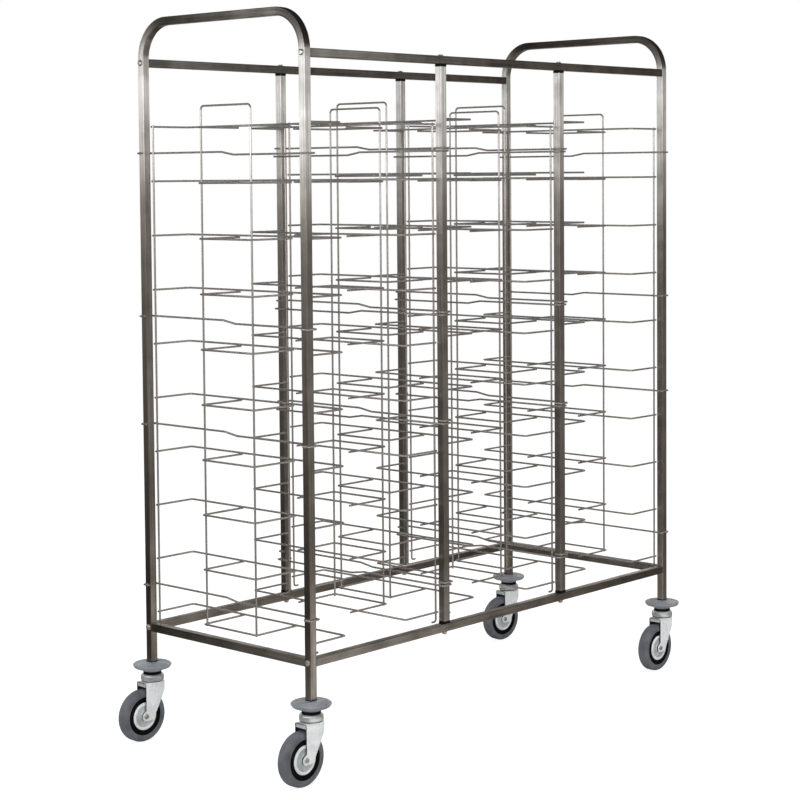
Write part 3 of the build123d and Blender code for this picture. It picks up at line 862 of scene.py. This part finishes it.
def fork_line():
    """Middle line of the U, seen from the end: down one leg, over the crown, down the other."""
    side, top = fork_half - sheet_thick / 2, crown_z - sheet_thick / 2
    low = axle_z - lobe + 0.02
    lower = low + (axle_z - low) * (1 - np.cos(np.linspace(0, np.pi / 2, 10)))
    up = np.r_[lower, np.linspace(axle_z, top, 24)[1:]]
    leg = up[up < top - crown_bend - 0.5]
    leg = np.c_[np.zeros(len(leg)), np.full(len(leg), -side), leg]
    corners = [(0, -side, low), (0, -side, top), (0, side, top), (0, side, low)]
    arcs = rounded_path(corners, crown_bend, 7)[1:-1]
    half = len(arcs) // 2
    across = np.c_[np.zeros(5), np.linspace(-1, 1, 5) * (side - crown_bend - 1), np.full(5, top)]
    return np.vstack([leg, arcs[:half], across, arcs[half:], leg[::-1] * np.array([1, -1, 1])])


def fork_sheet(name, pivot, angle, columns=25):
    """Sheet (s, t): s gives side and height along the middle of the U, t blends rear to front. The
    ridge is a bell curve, height * exp(-(distance / width)^2), that fades out at both its ends."""
    line = fork_line()
    t = np.linspace(0, 1, columns)[None]
    rear, front = edge_lines(line[:, 2])
    x = rear[:, None] * (1 - t) + front[:, None] * t
    y = np.repeat(line[:, 1:2], columns, 1)
    z = np.repeat(line[:, 2:3], columns, 1)
    distance = x - np.interp(z, ridge_z, ridge_x)
    fade = np.clip((z - axle_z - 14) / 12, 0, 1) * np.clip((crown_z - 14 - z) / 14, 0, 1)
    y = y + np.sign(y) * ridge_height * np.exp(-((distance / ridge_width) ** 2)) * fade
    verts = moved(np.stack([x, y, z], -1).reshape(-1, 3), placing(pivot[0], pivot[1], 0, angle))
    faces = grid_faces(len(line), columns, wrap_cols=False).tolist()
    sheet = make_mesh(name, to_scene(verts), faces)
    thicken = sheet.modifiers.new("sheet thickness", "SOLIDIFY")
    thicken.thickness, thicken.offset = sheet_thick / 1000, 0.0
    # The rims take the second material and the inner side the third: both are painted shade.
    thicken.material_offset_rim, thicken.material_offset = 1, 2
    soften = sheet.modifiers.new("sheared edge", "BEVEL")
    soften.width, soften.segments = 0.0005, 2
    soften.limit_method, soften.angle_limit = "ANGLE", 0.9
    return sheet


# %% [markdown]
# Under the cup the crown widens into a round seat, and on the wheel's side its edge is turned down
# as a lip that stiffens it. Both are pieces of the same pressing, so they ride on the same body.
# The lip is in the shade of the seat and looks duller.

# %% Forks
seat_profile = [(6.05, -sheet_thick), (27, -sheet_thick), (27, 0), (6.05, 0)]
seat_radii = [0, 0.8, 0.8, 0]
lip_x, lip_half, lip_z = -32.75, 16.4, crown_z - 5.7
lip_line = np.array([(lip_x, -lip_half, lip_z), (lip_x, lip_half, lip_z)])
strip = np.array([(-5.0, -1.25), (5.0, -1.25), (5.0, 1.25), (-5.0, 1.25)])
strip_out = strip / np.linalg.norm(strip, axis=1)[:, None]
for name, (pivot, hub, angle) in casters.items():
    body = f"swivel_{name}"
    sheet = fork_sheet(f"{name}_fork_sheet", pivot, angle)
    dress(sheet, zinc, "zinc_sheet", body, f"{name}_fork")
    # The second and third materials paint shade, nearly black, on the sheet's edges and its inner side.
    sheet.data.materials.append(edge_shade)
    sheet.data.materials.append(inner_shade_zinc)
    place = placing(pivot[0], pivot[1], 0, angle)
    seat = turned(f"{name}_fork_seat", seat_profile, seat_radii, place @ placing(0, 0, crown_z))
    dress(seat, zinc, "zinc_sheet", body)
    bar = carried((strip, strip_out), lip_line, (0, 0, 1), edge=0.4)
    lip = make_mesh(f"{name}_fork_lip", to_scene(moved(bar[0], place)), bar[1])
    lip.data.set_sharp_from_angle(angle=0.6)
    # The lip takes the darker zinc: painted shade under the seat.
    dress(lip, shaded_zinc, "zinc_sheet", body)
print("fork sheet:", len(sheet.data.polygons), "faces before it is thickened")

# %% [markdown]
# The wheel is a grey rubber tyre on a black plastic core. A pressed zinc disc covers the core on
# both sides. Its steps catch the light as bright rings, so the profile has a rolled bead near the
# edge, a shallow dish inside it and a raised boss round the axle. The dish has painted shade, a
# darker zinc than the bead, so each disc is modelled as two rings that meet where the bead begins.

# %% Wheels
tyre_profile = [(47.5, -14.6), (49.5, -15), (64, -15), (64, 15), (49.5, 15), (47.5, 14.6)]
tyre_radii = [0.5, 1.5, 8, 8, 1.5, 0.5]
core_half = [(6.1, 12.4), (40.5, 12.4), (41.1, 13.8), (47.5, 13.8)]
core_profile = [(r, -h) for r, h in core_half] + core_half[::-1]
core_radii = [0, 0.4, 0.4, 0.6, 0.6, 0.4, 0.4, 0]
dish_profile = [
    (6.15, 12.45), (27, 12.45), (27, 13.8), (15.2, 13.8),
    (13.4, 15.6), (9.8, 15.6), (8.6, 13.8), (6.15, 13.8),
]
dish_radii = [0, 0, 0, 0.9, 1.2, 1.0, 0.6, 0]
bead_profile = [
    (27, 12.45), (34.4, 12.45), (34.4, 13.6), (32.9, 13.9), (31.9, 15.6), (28.2, 15.6), (27, 13.9),
]
bead_radii = [0, 0.4, 0.5, 0.8, 1.2, 1.2, 0.3]
for name, (pivot, hub, angle) in casters.items():
    body = f"wheel_{name}"
    spin = placing(hub[0], hub[1], hub[2], angle, np.pi / 2)
    tyre = turned(f"{name}_tyre_ring", tyre_profile, tyre_radii, spin, count=128, steps=10)
    dress(tyre, tyre_rubber, "tyre_grey", body, f"{name}_tyre")
    core = turned(f"{name}_core_ring", core_profile, core_radii, spin, count=96)
    dress(core, core_plastic, "core_black", body, f"{name}_wheel_core")
    for side, flip in (("near", 0.0), ("far", np.pi)):
        cover = spin @ placing(0, 0, tilt=flip)
        dish = turned(f"{name}_{side}_hub_dish", dish_profile, dish_radii, cover, count=96)
        # The dish takes the darker zinc: painted shade in the recess.
        dress(dish, shaded_zinc, "zinc_sheet", body, f"{name}_hub_discs")
        bead = turned(f"{name}_{side}_hub_bead", bead_profile, bead_radii, cover, count=96)
        dress(bead, zinc, "zinc_sheet", body, f"{name}_hub_discs")
    dress(nodes[f"{name}_bush"], bolt_steel, "axle_steel", f"swivel_{name}")

# %% [markdown]
# The axle is a bolt through both legs of the fork, with a button head on one side and a hexagon
# nut on the other. The nut's side faces are flat and its corners are taken off by a cone, so the
# outline of each ring is the smaller of the hexagon and a circle.


# %% Axles
def hex_nut(place, across, height, bore, count=60):
    """Rings of a chamfered nut: radius = min(hexagon, circle), from the bore round and back."""
    a = np.arange(count) / count * 2 * np.pi
    hexagon = hexagon_radius(across, a)
    hole, cut = np.full(count, bore), np.minimum(hexagon, across / 2 * 0.98)
    chamfer = 0.9
    radii = np.array([hole, cut, hexagon, hexagon, cut, hole])
    heights = [0, 0, chamfer, height - chamfer, height, height]
    verts = rings(radii, heights, a)
    return moved(verts, place), grid_faces(len(radii), count, wrap_rows=True).tolist()


bolt_size, shank_radius, nut_height, shank_end = 13.0, 4, 6.5, 2.0
nut_base = -fork_half - nut_height
shank_low = nut_base - shank_end
shank_profile = [(0, shank_low), (shank_radius, shank_low), (shank_radius, fork_half), (0, fork_half)]
for name, (pivot, hub, angle) in casters.items():
    spin = placing(hub[0], hub[1], hub[2], angle, np.pi / 2)
    head = button_head(spin @ placing(0, 0, fork_half), bolt_size, height=4.0, socket=5.0)
    nut = hex_nut(spin @ placing(0, 0, nut_base), bolt_size, nut_height, shank_radius)
    verts, faces = stacked([head, nut])
    ends = make_mesh(f"{name}_axle_ends", to_scene(verts), faces)
    ends.data.set_sharp_from_angle(angle=0.5)
    dress(ends, bolt_steel, "axle_steel", f"swivel_{name}", f"{name}_axle")
    shank = turned(f"{name}_axle_shank", shank_profile, [0.8, 0], spin, count=40, closed=False)
    dress(shank, bolt_steel, "axle_steel", f"swivel_{name}")
print("axle from", shank_low, "to", fork_half, "mm beside the middle of the wheel")

# %% [markdown]
# ## The studio
# Polished metal shows its surroundings, so the room matters more than the lamps. In the photograph
# the upper part of each leg is bright, its lower part is nearly black and the handles are dark. That
# is a room with a bright band on its walls at eye height, a dark ceiling and a dark floor beyond a
# pale sheet. The camera itself sees plain white behind the trolley, as in a cut-out picture.

# %% Helpers for the studio
red_to_green, red_to_blue = 0.13, 0.27


def ramp(tree, factor, stops, low=0.0, high=1.0):
    """Ramp from a warm dark to white. Each stop is a place between low and high, and a brightness."""
    made = tree.nodes.new("ShaderNodeValToRGB")
    tree.links.new(spread(tree, factor, low, high), made.inputs["Fac"])
    bar = made.color_ramp
    while len(bar.elements) < len(stops):
        bar.elements.new(0.5)
    for element, (place, value) in zip(bar.elements, stops):
        element.position = (place - low) / (high - low)
        dark = 1 - value
        element.color = (value, value * (1 - red_to_green * dark), value * (1 - red_to_blue * dark), 1)
    return made.outputs["Color"]


def axes(tree, output="Object"):
    """The X, Y and Z of a point or direction as three sockets."""
    where, split = tree.nodes.new("ShaderNodeTexCoord"), tree.nodes.new("ShaderNodeSeparateXYZ")
    tree.links.new(where.outputs[output], split.inputs["Vector"])
    return split.outputs["X"], split.outputs["Y"], split.outputs["Z"]


def mixed_shader(tree, factor, first, second):
    """The first shader where the factor is 0, the second where it is 1. Returns its socket."""
    made = tree.nodes.new("ShaderNodeMixShader")
    for place, socket in enumerate((factor, first, second)):
        tree.links.new(socket, made.inputs[place])
    return made.outputs["Shader"]


# %% World: white for the camera, a banded room for reflections
scene = bpy.context.scene
world = bpy.data.worlds.new("studio room")
scene.world = world
world.use_nodes = True
sky = world.node_tree
sky.nodes.clear()
up_way = axes(sky, "Generated")[2]
bands = [(-1, 0.03), (-0.25, 0.03), (-0.02, 0.12), (0.01, 0.8), (0.10, 0.8), (0.15, 0.02), (1, 0.02)]
room = ramp(sky, up_way, bands, -1, 1)
rays = sky.nodes.new("ShaderNodeLightPath").outputs
seen = node(sky, "ShaderNodeBackground", Color=(1, 1, 1, 1), Strength=1.0)
ambient = node(sky, "ShaderNodeBackground", Color=(1, 1, 1, 1), Strength=0.55)
mirrored = node(sky, "ShaderNodeBackground", Strength=1.3)
sky.links.new(room, mirrored.inputs["Color"])
shiny = chain(sky, "ShaderNodeMath", "MAXIMUM", rays["Is Glossy Ray"], rays["Is Transmission Ray"])
lit = mixed_shader(sky, shiny, ambient.outputs["Background"], mirrored.outputs["Background"])
every_ray = mixed_shader(sky, rays["Is Camera Ray"], lit, seen.outputs["Background"])
sky.links.new(every_ray, sky.nodes.new("ShaderNodeOutputWorld").inputs["Surface"])

# %% [markdown]
# The floor is a plain pale sheet. The camera sees it white with a soft shadow under the wheels.
# Reflections see it fade out: towards the back it darkens within a metre, and towards the right
# within two. The fade runs along X and Y separately, as the light of two lamps falls off.

# %% The floor
room_low, room_high, wall_height = -4, 6, 3
floor_x = [
    (-4, 0.2), (-2.0, 0.2), (-1.5, 0.5), (-1.15, 1.0), (0.35, 1.0), (0.6, 0.8),
    (0.86, 0.55), (1.1, 0.33), (1.4, 0.16), (1.8, 0.06), (6, 0.04),
]
floor_y = [
    (-4, 0.3), (-1.3, 0.5), (-0.9, 0.75), (-0.6, 0.35), (-0.3, 0.2), (0.3, 0.2),
    (0.45, 0.16), (0.65, 0.07), (1.1, 0.035), (1.6, 0.02), (6, 0.02),
]
warm = (1.0, 0.96, 0.92)


def plane(name, corners):
    """One flat face with four corners, in metres."""
    return make_mesh(name, np.array(corners, float), [[0, 1, 2, 3]])


def glow_material(name, colour_of):
    """Material that only shines. colour_of is given the tree and returns the socket of its colour."""
    made = bpy.data.materials.new(name)
    made.use_nodes = True
    tree = made.node_tree
    tree.nodes.clear()
    glow = tree.nodes.new("ShaderNodeEmission")
    tree.links.new(colour_of(tree), glow.inputs["Color"])
    end = tree.nodes.new("ShaderNodeOutputMaterial")
    tree.links.new(glow.outputs["Emission"], end.inputs["Surface"])
    return made, tree, glow, end


def floor_glow(tree):
    """The product of a ramp along X, a ramp along Y and a warm tint."""
    x, y, z = axes(tree)
    sideways = ramp(tree, x, floor_x, room_low, room_high)
    backwards = ramp(tree, y, floor_y, room_low, room_high)
    both = chain(tree, "ShaderNodeVectorMath", "MULTIPLY", sideways, backwards)
    return chain(tree, "ShaderNodeVectorMath", "MULTIPLY", both, warm)


paper = plane("paper_floor", [(-9, -9, 0), (9, -9, 0), (9, 9, 0), (-9, 9, 0)])
finish, tree, reflected, end = glow_material("pale paper", floor_glow)
matt = node(tree, "ShaderNodeBsdfDiffuse", Color=(0.82, 0.82, 0.82, 1))
dim = node(tree, "ShaderNodeBsdfDiffuse", Color=(0.26, 0.26, 0.26, 1))
white = node(tree, "ShaderNodeEmission", Color=(1, 1, 1, 1), Strength=0.86)
bright = tree.nodes.new("ShaderNodeAddShader")
tree.links.new(dim.outputs["BSDF"], bright.inputs[0])
tree.links.new(white.outputs["Emission"], bright.inputs[1])
rays = tree.nodes.new("ShaderNodeLightPath").outputs
by_eye = mixed_shader(tree, rays["Is Camera Ray"], matt.outputs["BSDF"], bright.outputs["Shader"])
by_mirror = mixed_shader(tree, rays["Is Glossy Ray"], by_eye, reflected.outputs["Emission"])
tree.links.new(by_mirror, end.inputs["Surface"])
paper.data.materials.append(finish)

# %% [markdown]
# Two walls stand two metres from the trolley, one in front and one on the left. Only reflections
# see them. Each has a bright band at eye height and fades sideways, so a handle or rail darkens
# along its length as it does in the photograph. A leg mirrors the whole width of a wall at once,
# because its grain is upright, so a leg shows only how the wall changes with height. Two plainer
# walls and two sheets on the floor lie behind the trolley and on its right, past what the
# photograph's view mirrors. They keep the steel from looking black when it is seen from behind.

# %% Brightness of the walls, sideways and upwards
left_y = [(-4, 1.0), (1.5, 1.0), (1.95, 0.62), (2.28, 0.2), (2.5, 0.08), (2.9, 0.03), (6, 0.02)]
left_up = [
    (0, 0.03), (0.5, 0.06), (0.8, 0.085), (1.0, 0.1), (1.16, 0.13), (1.32, 0.24),
    (1.48, 0.6), (1.58, 1.0), (1.95, 1.0), (2.05, 0.02), (3, 0.01),
]
front_x = [(-4, 1.0), (1.3, 1.0), (2.0, 0.52), (2.35, 0.32), (2.7, 0.27), (3.5, 0.25), (6, 0.16)]
front_up = [
    (0, 0.16), (0.8, 0.2), (1.0, 0.13), (1.3, 0.15), (1.45, 0.35),
    (1.6, 0.85), (1.8, 0.9), (1.95, 0.8), (2.03, 0.03), (3, 0.02),
]
rear_x = [(-4, 0.0), (-1.4, 0.0), (-0.6, 1.0), (6, 1.0)]
right_y = [(-4, 0.0), (-1.5, 0.0), (-0.8, 1.0), (6, 1.0)]
rear_up = [(0, 0.26), (0.8, 0.28), (1.3, 0.36), (1.6, 0.8), (2.2, 0.8), (2.4, 0.2), (3, 0.15)]
sheet_fade, sheet_up = [(-4, 0.0), (-0.9, 0.0), (-0.3, 1.0), (6, 1.0)], [(0, 0.28), (3, 0.28)]


# %% The walls
def upright_corners(a, b):
    """A wall over the floor points a and b."""
    return [(*a, 0), (*b, 0), (*b, wall_height), (*a, wall_height)]


def sheet_corners(x, y, z):
    """A sheet at height z, from the point (x, y) to the far corner of the room."""
    return [(x, y, z), (room_high, y, z), (room_high, room_high, z), (x, room_high, z)]


def wall(name, corners, along, sideways, upwards, strength):
    """Glow = ramp along one level axis, times ramp along Z, times strength."""

    def wall_glow(tree):
        sockets = axes(tree)
        across = ramp(tree, sockets[along], sideways, room_low, room_high)
        height = ramp(tree, sockets[2], upwards, 0, wall_height)
        return chain(tree, "ShaderNodeVectorMath", "MULTIPLY", across, height)

    made, tree, glow, end = glow_material(name, wall_glow)
    glow.inputs["Strength"].default_value = strength
    card = plane(name, corners)
    card.data.materials.append(made)
    card.visible_camera = card.visible_diffuse = card.visible_shadow = False


walls = [
    ("left_wall", upright_corners((-2.775, -2.2), (-2.775, 6)), 1, left_y, left_up, 2.9),
    ("front_wall", upright_corners((-2.7, -2.29), (6, -2.29)), 0, front_x, front_up, 1.6),
    ("rear_wall", upright_corners((6, 3.3), (-1.5, 3.3)), 0, rear_x, rear_up, 1.3),
    ("right_wall", upright_corners((3.9, 3.3), (3.9, -1.6)), 1, right_y, rear_up, 1.3),
    ("rear_sheet", sheet_corners(-0.9, 1.1, 0.002), 0, sheet_fade, sheet_up, 1.0),
    ("right_sheet", sheet_corners(2.2, -0.9, 0.003), 1, sheet_fade, sheet_up, 1.0),
]
for row in walls:
    wall(*row)
print("walls and sheets:", [row[0] for row in walls])

# %% [markdown]
# Three broad lamps light the plastic and rubber: one overhead, one from the camera's left and a
# weaker one from its right. Metal doesn't need them, because it already mirrors the room, so
# reflections leave the lamps out and no hard highlight spoils the brushed tube.

# %% Lamps
aimed_at = Vector((0, 0, 0.7))


def lamp(name, place, size, power):
    """Round area lamp that faces the middle of the trolley. Size in metres, power in watts."""
    data = bpy.data.lights.new(name, "AREA")
    data.shape, data.size, data.energy = "DISK", size, power
    obj = bpy.data.objects.new(name, data)
    bpy.context.scene.collection.objects.link(obj)
    obj.location = place
    obj.rotation_euler = (aimed_at - Vector(place)).to_track_quat("-Z", "Y").to_euler()
    obj.visible_glossy = False


lamp("overhead lamp", (0, 0, 4.2), size=3.5, power=95)
lamp("left lamp", (-4.2, -0.6, 2.6), size=2.2, power=60)
lamp("right lamp", (1.4, -4.2, 2.2), size=2.2, power=40)
print("lamps:", len(bpy.data.lights))

# %% [markdown]
# ## The camera
# The photograph was taken from 1.4 m above the floor, and its upright lines stay nearly upright.
# So most of the way down to the trolley comes from a shifted lens, and the camera itself looks
# down by only three degrees. The place, the turn and the lens come from the straight edges of the
# frame, and the picture leans by half a degree.

# %% Camera
camera = bpy.data.objects.new("camera", bpy.data.cameras.new("camera"))
scene.collection.objects.link(camera)
scene.camera = camera
turn, pitch, lean_angle = np.radians(47.659), np.radians(86.97), np.radians(-0.457)
place = Matrix.Translation(Vector(to_scene((-3139.3, -3148.8, 1397.6))))
aim = Matrix.Rotation(-turn, 4, "Z") @ Matrix.Rotation(pitch, 4, "X")
camera.matrix_world = place @ aim @ Matrix.Rotation(lean_angle, 4, "Z")
picture_width, focal_pixels, sensor = 800, 1957.9, 36.0
camera.data.sensor_width = sensor
camera.data.lens = focal_pixels / picture_width * sensor
camera.data.shift_x, camera.data.shift_y = -0.000625, -0.15
camera.data.clip_start, camera.data.clip_end = 0.1, 60.0
scene.view_settings.view_transform = "Standard"
print("lens", round(camera.data.lens, 1), "mm, camera at", [round(v, 2) for v in place.translation])
